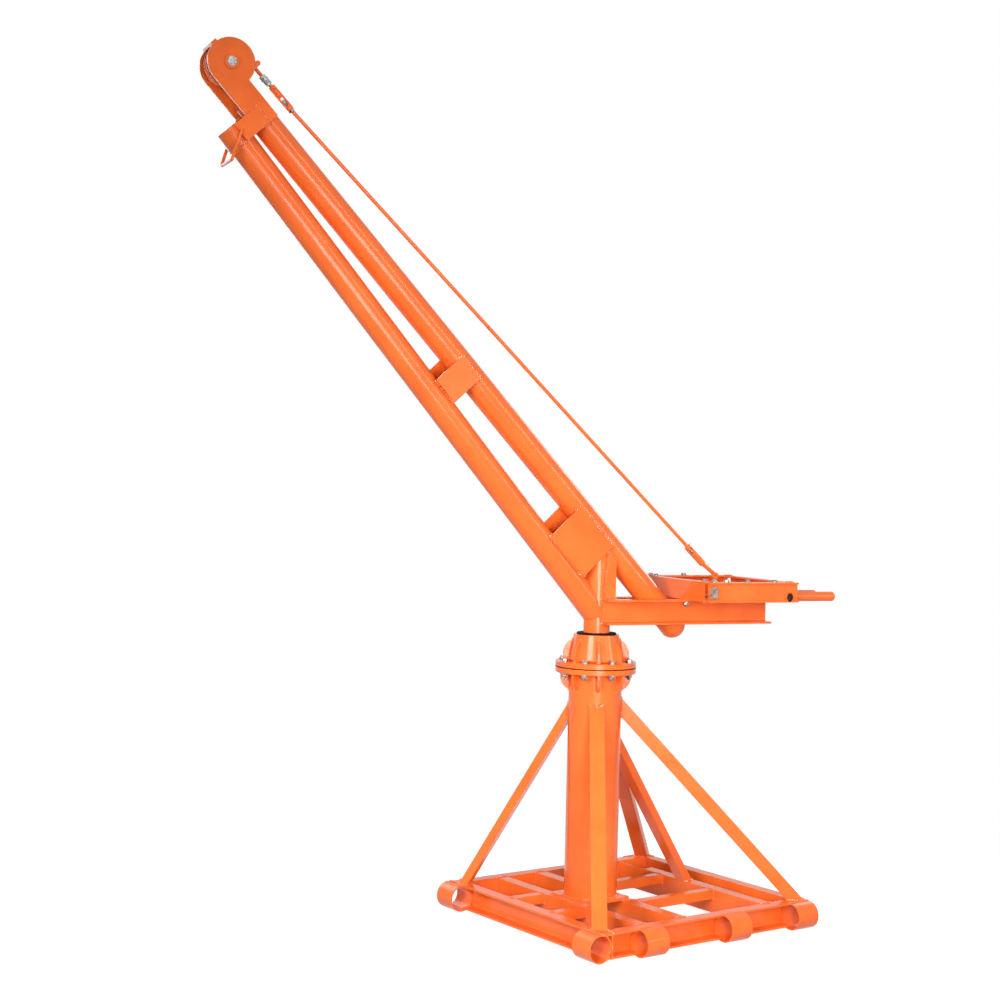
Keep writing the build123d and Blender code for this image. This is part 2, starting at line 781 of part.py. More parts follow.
# Ballast tray: two side rails with a lip, two end channels between them, flat bearers
tray_length = tray_inner_end - tray_outer_end
tray_near_web = tray_near_side - tray_lip
tray_far_web = tray_far_side + tray_lip
tray_near_tip = tray_near_web - tray_flange_width
tray_far_tip = tray_far_web + tray_flange_width
tray_inside = tray_near_tip - tray_far_tip
tray_top_flange = beam_top + tray_height - tray_flange
with BuildPart() as tray_sides:
    add(tray_channel(tray_inner_end, tray_near_web, near * -1, tray_length))
    add(tray_channel(tray_outer_end, tray_far_web, near, tray_length))
    for lip_bottom in (beam_top, tray_top_flange):
        with BuildSketch(level.offset(lip_bottom)):
            with Locations((tray_inner_end, tray_near_web)):
                Rectangle(tray_length, tray_lip, align=(Align.MAX, Align.MIN))
            with Locations((tray_inner_end, tray_far_web)):
                Rectangle(tray_length, tray_lip, align=(Align.MAX, Align.MAX))
        extrude(amount=tray_flange)
    with BuildSketch(boom.offset(-tray_near_side)):
        with Locations(near_slot_at):
            SlotOverall(near_slot_size[1] + 2 * socket_wall, near_slot_size[0] + 2 * socket_wall,
                        rotation=90)
        with Locations(near_hole_at):
            Ellipse(near_hole_size[0] / 2 + socket_wall, near_hole_size[1] / 2 + socket_wall)
    extrude(amount=tray_lip)
    with BuildSketch(boom.offset(-tray_near_side)):
        with Locations(near_slot_at):
            SlotOverall(near_slot_size[1], near_slot_size[0], rotation=90)
        with Locations(near_hole_at):
            Ellipse(near_hole_size[0] / 2, near_hole_size[1] / 2)
    extrude(amount=tray_lip + 2 * tray_web, mode=Mode.SUBTRACT)
save(tray_sides.part, "tray_sides")

bar_level = beam_top + running_gap + bar_diameter / 2
bar_start = tray_outer_end + bar_inset
near_bar_side = tray_near_tip - running_gap - bar_diameter / 2
bar_room = bar_diameter / 2 + running_gap
with BuildPart() as tray_ends:
    add(tray_channel(tray_inner_end, tray_far_tip, head * -1, tray_inside))
    add(tray_channel(tray_outer_end, tray_near_tip, head, tray_inside))
    for side in (near_bar_side, second_bar_side):
        with BuildSketch(Plane(origin=place((tray_outer_end, bar_level), side),
                               x_dir=near, z_dir=head)):
            Circle(bar_room)
            Rectangle(2 * bar_room, 2 * bar_room, align=(Align.CENTER, Align.MAX))
        extrude(amount=tray_flange_width + bar_diameter, mode=Mode.SUBTRACT)
save(tray_ends.part, "tray_ends")

with BuildPart() as tray_bearers:
    for bearer_reach in (tray_bearer_inner, stay_eye[0], tray_bearer_outer):
        with BuildSketch(level.offset(beam_top)):
            with Locations((bearer_reach, tray_far_tip)):
                Rectangle(tray_bearer_width, tray_inside, align=(Align.CENTER, Align.MIN))
        extrude(amount=tray_bearer_thickness)
save(tray_bearers.part, "tray_bearers")

# Push bars for turning the jib by hand
with BuildPart() as push_bars:
    for side, reach in ((near_bar_side, bar_reach), (second_bar_side, bar_reach + second_bar_short)):
        bar_plane = Plane(origin=place((bar_start, bar_level), side), x_dir=near, z_dir=head * -1)
        with BuildSketch(bar_plane):
            Circle(bar_diameter / 2)
        extrude(amount=bar_start - reach)
        end_edges = push_bars.edges().filter_by(GeomType.CIRCLE).sort_by_distance(
            place((reach, bar_level), side))[:1]
        fillet(end_edges, bar_diameter / 4)
save(push_bars.part, "push_bars")


def turnbuckle(pin, far_end, gap):
    """Open turnbuckle with a fork on its pin end, pointing from pin to far_end."""
    pin_point = place(pin)
    way = (place(far_end) - pin_point).normalized()
    length = (place(far_end) - pin_point).length
    cross = Plane(origin=pin_point, x_dir=near, z_dir=way)
    side_face = Plane(origin=pin_point, x_dir=way, z_dir=near)
    fork_width = gap + 2 * fork_gauge
    with BuildPart() as body:
        for hand in (-1, 1):
            with BuildSketch(side_face.offset(hand * gap / 2)):
                Circle(turnbuckle_nut / 2)
                Rectangle(fork_length, turnbuckle_nut, align=(Align.MIN, Align.CENTER))
            extrude(amount=hand * fork_gauge)
        with BuildSketch(side_face):
            Circle(link_pin / 2)
        extrude(amount=fork_width / 2 + fork_gauge, both=True)
        with BuildSketch(cross.offset(fork_length - fork_gauge)):
            Rectangle(fork_width, turnbuckle_nut)
        extrude(amount=fork_gauge)
        with BuildSketch(cross.offset(fork_length)):
            RegularPolygon(turnbuckle_nut / 2, 6)
        extrude(amount=turnbuckle_nut)
        with BuildSketch(cross.offset(length - turnbuckle_nut)):
            RegularPolygon(turnbuckle_nut / 2, 6)
            Circle(stay_rod_diameter / 2 + running_gap, mode=Mode.SUBTRACT)
        extrude(amount=turnbuckle_nut)
        for hand in (-1, 1):
            with BuildSketch(cross.offset(fork_length)):
                with Locations((0, hand * (turnbuckle_width - turnbuckle_bar) / 2)):
                    Rectangle(turnbuckle_nut / 2, turnbuckle_bar)
            extrude(amount=length - fork_length)
    return body.part


# Stay: anchor strap at the head, two turnbuckles with a rod between, eye on the tray
sheave_reach = (sheave_centre.X * head.X + sheave_centre.Y * head.Y, sheave_centre.Z)
stay_pin_top = (sheave_reach[0] + stay_pin_drop[0], sheave_reach[1] + stay_pin_drop[1])
turnbuckle_top_end = (stay_pin_top[0] + turnbuckle_top_run[0],
                      stay_pin_top[1] + turnbuckle_top_run[1])
anchor_point = sheave_centre + anchor_way * anchor_reach
anchor_run = place(stay_pin_top) - anchor_point
with BuildPart() as stay_anchor:
    strap_plane = Plane(origin=anchor_point, x_dir=anchor_run.normalized(), z_dir=near)
    with BuildSketch(strap_plane.offset(-anchor_strap_gauge / 2)):
        Rectangle(anchor_run.length, anchor_strap_width, align=(Align.MIN, Align.CENTER))
        with Locations((anchor_run.length, 0)):
            Circle(anchor_strap_width / 2)
            Circle(link_pin / 2, mode=Mode.SUBTRACT)
        Circle(anchor_bar / 2, mode=Mode.SUBTRACT)
    extrude(amount=anchor_strap_gauge)
save(stay_anchor.part, "stay_anchor")

with BuildPart() as turnbuckle_upper:
    add(turnbuckle(stay_pin_top, turnbuckle_top_end, anchor_strap_gauge))
save(turnbuckle_upper.part, "turnbuckle_upper")

with BuildPart() as turnbuckle_lower:
    add(turnbuckle(stay_eye, turnbuckle_low_end, eye_wire))
save(turnbuckle_lower.part, "turnbuckle_lower")

top_way = (place(stay_pin_top) - place(turnbuckle_top_end)).normalized()
low_way = (place(stay_eye) - place(turnbuckle_low_end)).normalized()
with BuildPart() as stay_rod:
    with BuildLine() as rod_path:
        FilletPolyline(
            place(turnbuckle_top_end) + top_way * rod_engagement,
            place(turnbuckle_top_end),
            place(turnbuckle_low_end),
            place(turnbuckle_low_end) + low_way * rod_engagement,
            radius=rod_bend,
        )
    with BuildSketch(Plane(origin=rod_path.line @ 0, z_dir=rod_path.line % 0)):
        Circle(stay_rod_diameter / 2)
    sweep(path=rod_path.wires()[0])
save(stay_rod.part, "stay_rod")

with BuildPart() as stay_eye_bolt:
    eye_plane = Plane(origin=place(stay_eye), x_dir=head, z_dir=near)
    eye_shank_foot = beam_top + tray_bearer_thickness
    with BuildSketch(level.offset(eye_shank_foot)):
        with Locations((stay_eye[0], 0)):
            Circle(eye_shank / 2)
    extrude(amount=stay_eye[1] - eye_ring / 2 - eye_shank_foot)
    with BuildSketch(eye_plane):
        Circle(eye_ring / 2 + eye_wire / 2)
        Circle(link_pin / 2, mode=Mode.SUBTRACT)
    extrude(amount=eye_wire / 2, both=True)
save(stay_eye_bolt.part, "stay_eye_bolt")
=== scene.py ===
import math

import bmesh
import bpy
from mathutils import Matrix, Vector, noise
from mathutils.bvhtree import BVHTree


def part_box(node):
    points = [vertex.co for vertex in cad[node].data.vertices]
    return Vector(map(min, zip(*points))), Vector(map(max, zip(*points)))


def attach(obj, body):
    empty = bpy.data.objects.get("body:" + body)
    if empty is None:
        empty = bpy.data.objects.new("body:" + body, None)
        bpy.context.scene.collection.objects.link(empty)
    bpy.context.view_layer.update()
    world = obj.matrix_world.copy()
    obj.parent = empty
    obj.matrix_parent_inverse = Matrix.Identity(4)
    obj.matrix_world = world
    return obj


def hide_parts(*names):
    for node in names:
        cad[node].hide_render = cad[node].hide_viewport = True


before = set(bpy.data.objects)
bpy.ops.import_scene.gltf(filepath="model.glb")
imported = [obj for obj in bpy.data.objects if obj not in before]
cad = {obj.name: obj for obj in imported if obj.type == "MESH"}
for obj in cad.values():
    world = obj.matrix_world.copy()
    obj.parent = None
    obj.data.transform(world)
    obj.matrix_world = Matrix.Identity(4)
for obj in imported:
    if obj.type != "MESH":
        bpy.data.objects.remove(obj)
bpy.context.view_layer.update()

# Camera
# Stands about 5.8 m from the mast at chest height, level, with a long lens and a slight roll,
# as the photograph was taken.
camera_place = Vector((4.48392, -3.64583, 1.45643))
camera_heading = math.radians(144.167)
camera_pitch = math.radians(0.016)
camera_roll = math.radians(1.4066)
view_ahead = Vector((math.cos(camera_heading) * math.cos(camera_pitch),
                     math.sin(camera_heading) * math.cos(camera_pitch), math.sin(camera_pitch)))
level_right = Vector((math.sin(camera_heading), -math.cos(camera_heading), 0))
level_up = level_right.cross(view_ahead)
view_right = level_right * math.cos(camera_roll) + level_up * math.sin(camera_roll)
view_up = view_right.cross(view_ahead)
camera_data = bpy.data.cameras.new("camera")
camera_data.sensor_width = 36.0
camera_data.lens = 61.87
camera_data.shift_x = -0.0015
camera_data.shift_y = -0.0131
camera = bpy.data.objects.new("camera", camera_data)
bpy.context.scene.collection.objects.link(camera)
camera_axes = Matrix((view_right, view_up, -view_ahead)).transposed()
camera.matrix_world = Matrix.Translation(camera_place) @ camera_axes.to_4x4()
bpy.context.scene.camera = camera
bpy.context.scene.view_settings.view_transform = "Standard"

# Floor and room
# A plain pale floor that keeps the crane's soft shadow, and a white room round it. The floor
# glows towards the camera, and more so far out, where it meets the room without an edge.
floor_half = 30.0
floor_colour = (0.34, 0.34, 0.35, 1)
floor_glow = 0.88
floor_near = 1.1
floor_far = 2.6
room_light = 0.05


def seen_by_eye_or_gloss(tree):
    """A socket that is 1 for what the camera sees, straight, mirrored or through glass."""
    seen = tree.nodes.new("ShaderNodeLightPath")
    mirrored = tree.nodes.new("ShaderNodeMath")
    mirrored.operation = "MAXIMUM"
    through = tree.nodes.new("ShaderNodeMath")
    through.operation = "MAXIMUM"
    tree.links.new(seen.outputs["Is Camera Ray"], mirrored.inputs[0])
    tree.links.new(seen.outputs["Is Glossy Ray"], mirrored.inputs[1])
    tree.links.new(mirrored.outputs["Value"], through.inputs[0])
    tree.links.new(seen.outputs["Is Transmission Ray"], through.inputs[1])
    return through.outputs["Value"]


floor_mesh = bpy.data.meshes.new("floor")
floor_mesh.from_pydata([(-floor_half, -floor_half, 0), (floor_half, -floor_half, 0),
                        (floor_half, floor_half, 0), (-floor_half, floor_half, 0)],
                       [], [(0, 1, 2, 3)])
floor = bpy.data.objects.new("floor", floor_mesh)
bpy.context.scene.collection.objects.link(floor)
floor.location.z = -0.0005
pale_floor = bpy.data.materials.new("pale_floor")
pale_floor.use_nodes = True
floor_mesh.materials.append(pale_floor)
floor_nodes = pale_floor.node_tree.nodes
floor_link = pale_floor.node_tree.links.new
floor_shader = floor_nodes["Principled BSDF"]
floor_shader.inputs["Base Color"].default_value = floor_colour
floor_shader.inputs["Roughness"].default_value = 0.9
floor_shader.inputs["Specular IOR Level"].default_value = 0.0
floor_shader.inputs["Emission Color"].default_value = (1, 1, 1, 1)
floor_place = floor_nodes.new("ShaderNodeTexCoord")
floor_reach = floor_nodes.new("ShaderNodeVectorMath")
floor_reach.operation = "LENGTH"
floor_away = floor_nodes.new("ShaderNodeMapRange")
floor_away.interpolation_type = "SMOOTHSTEP"
floor_away.inputs["From Min"].default_value = floor_near
floor_away.inputs["From Max"].default_value = floor_far
floor_lift = floor_nodes.new("ShaderNodeMath")
floor_lift.operation = "MULTIPLY"
floor_lift.inputs[1].default_value = floor_glow
floor_white = floor_nodes.new("ShaderNodeEmission")
floor_blend = floor_nodes.new("ShaderNodeMixShader")
floor_seen = seen_by_eye_or_gloss(pale_floor.node_tree)
floor_link(floor_place.outputs["Object"], floor_reach.inputs[0])
floor_link(floor_reach.outputs["Value"], floor_away.inputs["Value"])
floor_link(floor_seen, floor_lift.inputs[0])
floor_link(floor_lift.outputs["Value"], floor_shader.inputs["Emission Strength"])
floor_link(floor_seen, floor_white.inputs["Strength"])
floor_link(floor_away.outputs["Result"], floor_blend.inputs["Fac"])
floor_link(floor_shader.outputs["BSDF"], floor_blend.inputs[1])
floor_link(floor_white.outputs["Emission"], floor_blend.inputs[2])
floor_link(floor_blend.outputs["Shader"], floor_nodes["Material Output"].inputs["Surface"])

room = bpy.data.worlds.new("room")
bpy.context.scene.world = room
room.use_nodes = True
room_background = room.node_tree.nodes["Background"]
room_background.inputs["Color"].default_value = (1, 1, 1, 1)
room_strength = room.node_tree.nodes.new("ShaderNodeMapRange")
room_strength.inputs["To Min"].default_value = room_light
room_strength.inputs["To Max"].default_value = 1.0
room.node_tree.links.new(seen_by_eye_or_gloss(room.node_tree), room_strength.inputs["Value"])
room.node_tree.links.new(room_strength.outputs["Result"], room_background.inputs["Strength"])


# Studio lights
# A long strip lamp up on the right, in line with the jib, draws the pale line along the tubes.
# Soft lamps hang overhead and stand low, left and right of the camera, and two more stand at the
# far sides so that these can be seen too.
def soft_lamp(name, place, aim, lengthwise, length, breadth, watts, spread=180):
    """A rectangular lamp that faces a point, with its long side along a direction."""
    lamp_data = bpy.data.lights.new(name, "AREA")
    lamp_data.shape = "RECTANGLE"
    lamp_data.size = length
    lamp_data.size_y = breadth
    lamp_data.energy = watts
    lamp_data.spread = math.radians(spread)
    lamp = bpy.data.objects.new(name, lamp_data)
    bpy.context.scene.collection.objects.link(lamp)
    back = (Vector(place) - Vector(aim)).normalized()
    along = Vector(lengthwise)
    along = (along - back * along.dot(back)).normalized()
    turn = Matrix((along, back.cross(along), back)).transposed()
    lamp.matrix_world = Matrix.Translation(Vector(place)) @ turn.to_4x4()


soft_lamp("strip_lamp", (3.66, 1.25, 2.88), (-0.05, -0.5, 1.75), (-0.07, -0.64, 0.76), 4.2, 0.11,
          56)
soft_lamp("top_lamp", (0.6, -0.6, 5.2), (0, 0, 1.0), (1, 0, 0), 3.0, 3.0, 34)
soft_lamp("right_lamp", (4.0, -1.9, 1.2), (0, 0, 0.5), (0, 0, 1), 1.6, 1.6, 40, 90)
soft_lamp("left_lamp", (1.8, -3.8, 2.1), (0, 0, 0.2), (0, 0, 1), 1.8, 1.8, 44, 85)
soft_lamp("front_lamp", (4.4, -3.2, 0.7), (0, 0, 0.5), (0, 0, 1), 1.2, 2.4, 8, 90)
soft_lamp("plate_lamp", (4.9, 0.9, 2.2), (0, 0, 1.8), (0, 0, 1), 0.9, 1.0, 8)
soft_lamp("far_left_lamp", (-4.4, -0.6, 2.6), (0, 0, 0.9), (0, 0, 1), 2.6, 2.6, 34, 120)
soft_lamp("far_lamp", (-1.5, 5.2, 2.8), (0, 0, 0.9), (0, 0, 1), 2.6, 2.6, 34, 120)

# Base frame
# Rolled channels with cross bearers and angle ties, cut square, butted and welded along every
# joint, then sprayed with gloss orange enamel.
enamel_deep = (0.78, 0.125, 0.018, 1)
enamel_light = (0.86, 0.155, 0.026, 1)
frame_bead = 0.0038
seam_corner = math.radians(20)
seam_step = 0.004
seam_reach = 0.0008


def orange_enamel(name, cloud_size, peel_height, edge_radius, gloss=(0.16, 0.30)):
    """Sprayed enamel with faint clouds, orange peel, handling marks and rounded paint edges."""
    paint = bpy.data.materials.new(name)
    paint.use_nodes = True
    nodes = paint.node_tree.nodes
    link = paint.node_tree.links.new
    shader = nodes["Principled BSDF"]
    shader.inputs["IOR"].default_value = 1.5
    shader.inputs["Specular IOR Level"].default_value = 0.26
    place = nodes.new("ShaderNodeTexCoord")
    clouds = nodes.new("ShaderNodeTexNoise")
    clouds.inputs["Scale"].default_value = 1 / cloud_size
    clouds.inputs["Detail"].default_value = 4
    tone = nodes.new("ShaderNodeValToRGB")
    tone.color_ramp.elements[0].position = 0.3
    tone.color_ramp.elements[0].color = enamel_deep
    tone.color_ramp.elements[1].position = 0.7
    tone.color_ramp.elements[1].color = enamel_light
    marks = nodes.new("ShaderNodeTexNoise")
    marks.inputs["Scale"].default_value = 55
    marks.inputs["Detail"].default_value = 6
    marks.inputs["Roughness"].default_value = 0.7
    dulling = nodes.new("ShaderNodeMapRange")
    dulling.inputs["From Min"].default_value = 0.42
    dulling.inputs["From Max"].default_value = 0.72
    dulling.inputs["To Min"].default_value = gloss[0]
    dulling.inputs["To Max"].default_value = gloss[1]
    peel = nodes.new("ShaderNodeTexNoise")
    peel.inputs["Scale"].default_value = 320
    peel.inputs["Detail"].default_value = 2
    waves = nodes.new("ShaderNodeTexNoise")
    waves.inputs["Scale"].default_value = 28
    waves.inputs["Detail"].default_value = 1
    rounding = nodes.new("ShaderNodeBevel")
    rounding.samples = 4
    rounding.inputs["Radius"].default_value = edge_radius
    wave_bump = nodes.new("ShaderNodeBump")
    wave_bump.inputs["Strength"].default_value = 0.15
    wave_bump.inputs["Distance"].default_value = 2 * peel_height
    peel_bump = nodes.new("ShaderNodeBump")
    peel_bump.inputs["Strength"].default_value = 0.12
    peel_bump.inputs["Distance"].default_value = peel_height
    for pattern in (clouds, marks, peel, waves):
        link(place.outputs["Object"], pattern.inputs["Vector"])
    link(clouds.outputs["Fac"], tone.inputs["Fac"])
    link(tone.outputs["Color"], shader.inputs["Base Color"])
    link(marks.outputs["Fac"], dulling.inputs["Value"])
    link(dulling.outputs["Result"], shader.inputs["Roughness"])
    link(rounding.outputs["Normal"], wave_bump.inputs["Normal"])
    link(waves.outputs["Fac"], wave_bump.inputs["Height"])
    link(wave_bump.outputs["Normal"], peel_bump.inputs["Normal"])
    link(peel.outputs["Fac"], peel_bump.inputs["Height"])
    link(peel_bump.outputs["Normal"], shader.inputs["Normal"])
    return paint


def finish_nodes(finish, *pieces):
    """Gives CAD pieces their finish."""
    for piece in pieces:
        for place in cad[piece].material_slots:
            place.material = finish


def add_piece(name, shapes, finish, body, crease=35):
    """One mesh from (points, faces) pairs, smooth but for its sharp corners, riding on a body."""
    points = []
    faces = []
    for shape_points, shape_faces in shapes:
        first = len(points)
        points.extend(shape_points)
        faces.extend([tuple(first + corner for corner in face) for face in shape_faces])
    mesh = bpy.data.meshes.new(name)
    mesh.from_pydata(points, [], faces)
    mesh.polygons.foreach_set("use_smooth", [True] * len(mesh.polygons))
    mesh.set_sharp_from_angle(angle=math.radians(crease))
    mesh.materials.append(finish)
    piece = bpy.data.objects.new(name, mesh)
    bpy.context.scene.collection.objects.link(piece)
    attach(piece, body)
    return piece


def joined_surface(piece):
    """A CAD piece's surface with the doubled points along its edges joined."""
    surface = bmesh.new()
    surface.from_mesh(cad[piece].data)
    bmesh.ops.remove_doubles(surface, verts=surface.verts, dist=0.00002)
    return surface


def seam_runs(piece, neighbour, reach=seam_reach):
    """Runs of points where sharp edges of a piece lie against its neighbour."""
    surface = joined_surface(piece)
    other = BVHTree.FromBMesh(joined_surface(neighbour))
    joins = {}
    for edge in surface.edges:
        if len(edge.link_faces) == 2 and edge.calc_face_angle() < seam_corner:
            continue
        start = edge.verts[0].co
        end = edge.verts[1].co
        steps = max(1, math.ceil((end - start).length / seam_step))
        last = None
        for step in range(steps + 1):
            point = start.lerp(end, step / steps)
            touch = other.find_nearest(point, reach)[0]
            if touch is None:
                last = None
                continue
            spot = (point + touch) / 2
            here = (round(spot.x, 4), round(spot.y, 4), round(spot.z, 4))
            if last is not None and last != here:
                joins.setdefault(last, []).append(here)
                joins.setdefault(here, []).append(last)
            last = here
    runs = []
    while joins:
        ends = [key for key in joins if len(joins[key]) == 1]
        here = ends[0] if ends else next(iter(joins))
        run = [Vector(here)]
        while joins.get(here):
            there = joins[here].pop(0)
            if here in joins.get(there, []):
                joins[there].remove(here)
            if not joins[here]:
                del joins[here]
            run.append(Vector(there))
            here = there
        if here in joins and not joins[here]:
            del joins[here]
        if len(run) > 2:
            runs.append(run)
    return runs


def bead(run, half_width):
    """Points and faces of a rippled weld bead along a run of points."""
    stops = [run[0]]
    travelled = 0.0
    pitch = 1.0 * half_width
    for before, after in zip(run, run[1:]):
        leg = (after - before).length
        while travelled + leg >= pitch and leg > 0:
            before = before.lerp(after, (pitch - travelled) / leg)
            stops.append(before)
            leg = (after - before).length
            travelled = 0.0
        travelled += leg
    stops.append(run[-1])
    points = []
    faces = []
    sides = 7
    for count, stop in enumerate(stops):
        ahead = stops[min(count + 1, len(stops) - 1)] - stops[max(count - 1, 0)]
        ahead = ahead.normalized() if ahead.length > 0 else Vector((0, 0, 1))
        across = ahead.cross(Vector((0.31, 0.17, 0.93))).normalized()
        upright = ahead.cross(across)
        lump = noise.noise(stop * 160)
        swell = half_width * ((1.12 if count % 2 else 0.62) + 0.35 * lump)
        if count in (0, len(stops) - 1):
            swell = 0.45 * half_width
        centre = stop + across * (0.3 * half_width * noise.noise(stop * 90 + Vector((7, 3, 1))))
        for side in range(sides):
            turn = 2 * math.pi * side / sides
            points.append(centre + (across * math.cos(turn) + upright * math.sin(turn)) * swell)
    for ring in range(len(stops) - 1):
        for side in range(sides):
            following = (side + 1) % sides
            faces.append((ring * sides + side, ring * sides + following,
                          (ring + 1) * sides + following, (ring + 1) * sides + side))
    faces.append(tuple(range(sides)))
    faces.append(tuple((len(stops) - 1) * sides + side for side in range(sides)))
    return points, faces


def weld(name, pairs, finish, body, half_width, reach=seam_reach):
    """One mesh of beads along each seam between the paired pieces."""
    beads = []
    for piece, neighbour in pairs:
        for run in seam_runs(piece, neighbour, reach):
            if max(point.z for point in run) > 2 * half_width:
                beads.append(bead(run, half_width))
    return add_piece(name, beads, finish, body)


frame_enamel = orange_enamel("frame_enamel", 0.09, 0.00006, 0.0016)
# Weld bead paint with painted light: the mesh's pointiness turns the ripples' crests pale as
# painted highlights and the crevices between them dark red as painted shade, with plain enamel in
# between.
painted_light_bead_enamel = bpy.data.materials.new("painted_light_bead_enamel")
painted_light_bead_enamel.use_nodes = True
bead_nodes = painted_light_bead_enamel.node_tree.nodes
bead_link = painted_light_bead_enamel.node_tree.links.new
bead_shader = bead_nodes["Principled BSDF"]
bead_shader.inputs["Roughness"].default_value = 0.16
bead_shader.inputs["Specular IOR Level"].default_value = 0.6
bead_relief = bead_nodes.new("ShaderNodeNewGeometry")
bead_painted_light_tone = bead_nodes.new("ShaderNodeValToRGB")
bead_painted_light_tone.color_ramp.elements[0].position = 0.50
bead_painted_light_tone.color_ramp.elements[0].color = (0.26, 0.020, 0.003, 1)
bead_painted_light_tone.color_ramp.elements[1].position = 0.74
bead_painted_light_tone.color_ramp.elements[1].color = (1.0, 0.42, 0.20, 1)
bead_middle = bead_painted_light_tone.color_ramp.elements.new(0.60)
bead_middle.color = enamel_light
bead_link(bead_relief.outputs["Pointiness"], bead_painted_light_tone.inputs["Fac"])
bead_link(bead_painted_light_tone.outputs["Color"], bead_shader.inputs["Base Color"])
finish_nodes(frame_enamel, "channel_front_left", "channel_front_right", "channel_back_left",
             "channel_back_right", "bearer_front", "bearer_middle", "bearer_rear", "angle_ties")
weld("frame_welds", [
    ("channel_back_left", "channel_front_left"), ("channel_back_right", "channel_back_left"),
    ("channel_back_right", "channel_front_right"), ("channel_front_right", "channel_front_left"),
    ("bearer_front", "channel_back_left"), ("bearer_front", "channel_front_right"),
    ("bearer_middle", "channel_back_left"), ("bearer_middle", "channel_front_right"),
    ("bearer_rear", "channel_back_left"), ("bearer_rear", "channel_front_right"),
    ("angle_ties", "bearer_front"), ("angle_ties", "channel_front_left"),
    ("angle_ties", "bearer_middle"), ("angle_ties", "bearer_rear"),
], painted_light_bead_enamel, "stand", frame_bead)

# Leg sleeves
# Short lengths of welded pipe, each held to its channel by two long beads. The pipe's own seam
# shows as a fine ridge inside.
sleeve_enamel = orange_enamel("sleeve_enamel", 0.06, 0.00006, 0.0014)
sleeve_bead = 0.0040
pipe_bore_radius = 0.04045
pipe_seam = 0.0008
pipe_seam_half = 0.042
finish_nodes(sleeve_enamel, "sleeve_left", "sleeve_front", "sleeve_front_middle",
             "sleeve_rear_middle", "sleeve_right", "sleeve_back")
weld("sleeve_welds", [
    ("channel_front_left", "sleeve_left"), ("channel_front_left", "sleeve_front"),
    ("channel_front_right", "sleeve_front_middle"),
    ("channel_front_right", "sleeve_rear_middle"), ("channel_front_right", "sleeve_right"),
    ("channel_back_left", "sleeve_back"),
], painted_light_bead_enamel, "stand", sleeve_bead)
pipe_seams = []
for sleeve, seam_turn in (("sleeve_left", 35), ("sleeve_front", 150), ("sleeve_front_middle", 205),
                          ("sleeve_rear_middle", 120), ("sleeve_right", 60), ("sleeve_back", 80)):
    low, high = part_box(sleeve)
    centre = (low + high) / 2
    axis = Vector((1, 0, 0)) if sleeve in ("sleeve_left", "sleeve_front") else Vector((0, 1, 0))
    level_side = axis.cross(Vector((0, 0, 1)))
    turn = math.radians(seam_turn)
    foot = centre + pipe_bore_radius * (level_side * math.cos(turn)
                                        + Vector((0, 0, 1)) * math.sin(turn))
    pipe_seams.append(bead([foot - axis * pipe_seam_half, foot + axis * pipe_seam_half],
                           pipe_seam))
add_piece("pipe_seams", pipe_seams, painted_light_bead_enamel, "stand")

# Mast and struts
# A heavy pipe stands on a square plate, with five struts of box section from the frame's corners
# to the upper mast. Feet and heads are cut to fit and welded all round.
mast_enamel = orange_enamel("mast_enamel", 0.12, 0.00005, 0.0012, (0.14, 0.26))
strut_enamel = orange_enamel("strut_enamel", 0.10, 0.00005, 0.0022)
mast_bead = 0.0048
finish_nodes(mast_enamel, "mast", "mast_plate")
finish_nodes(strut_enamel, "strut_left", "strut_front", "strut_right", "strut_back", "strut_rear")
weld("mast_foot_welds", [("mast", "mast_plate"), ("mast_plate", "bearer_front"),
                         ("mast_plate", "bearer_middle")], painted_light_bead_enamel, "stand", mast_bead)
weld("strut_welds", [
    ("strut_left", "mast"), ("strut_front", "mast"), ("strut_right", "mast"),
    ("strut_back", "mast"), ("strut_rear", "mast"),
    ("strut_left", "channel_front_left"), ("strut_front", "channel_front_left"),
    ("strut_front", "channel_front_right"), ("strut_right", "channel_front_right"),
    ("strut_right", "channel_back_right"), ("strut_back", "channel_back_left"),
    ("strut_back", "channel_back_right"), ("strut_rear", "bearer_rear"),
    ("strut_back", "sleeve_back"), ("strut_left", "sleeve_left"),
], painted_light_bead_enamel, "stand", mast_bead)

# Slewing head
# Two turned flanges are bolted together, the lower on the mast with ribs under it, the upper with
# the bearing housing, whose curved ribs run up the cone. A rubber ring seals the turning column.
head_enamel = orange_enamel("head_enamel", 0.07, 0.00009, 0.0016, (0.15, 0.28))
rib_bead = 0.0036
finish_nodes(head_enamel, "mast_flange", "mast_ribs", "head_flange", "bearing_housing",
             "bearing_ribs")
weld("rib_welds", [
    ("mast_ribs", "mast"), ("mast_ribs", "mast_flange"), ("mast", "mast_flange"),
    ("bearing_ribs", "bearing_housing"), ("bearing_ribs", "head_flange"),
], painted_light_bead_enamel, "stand", rib_bead)

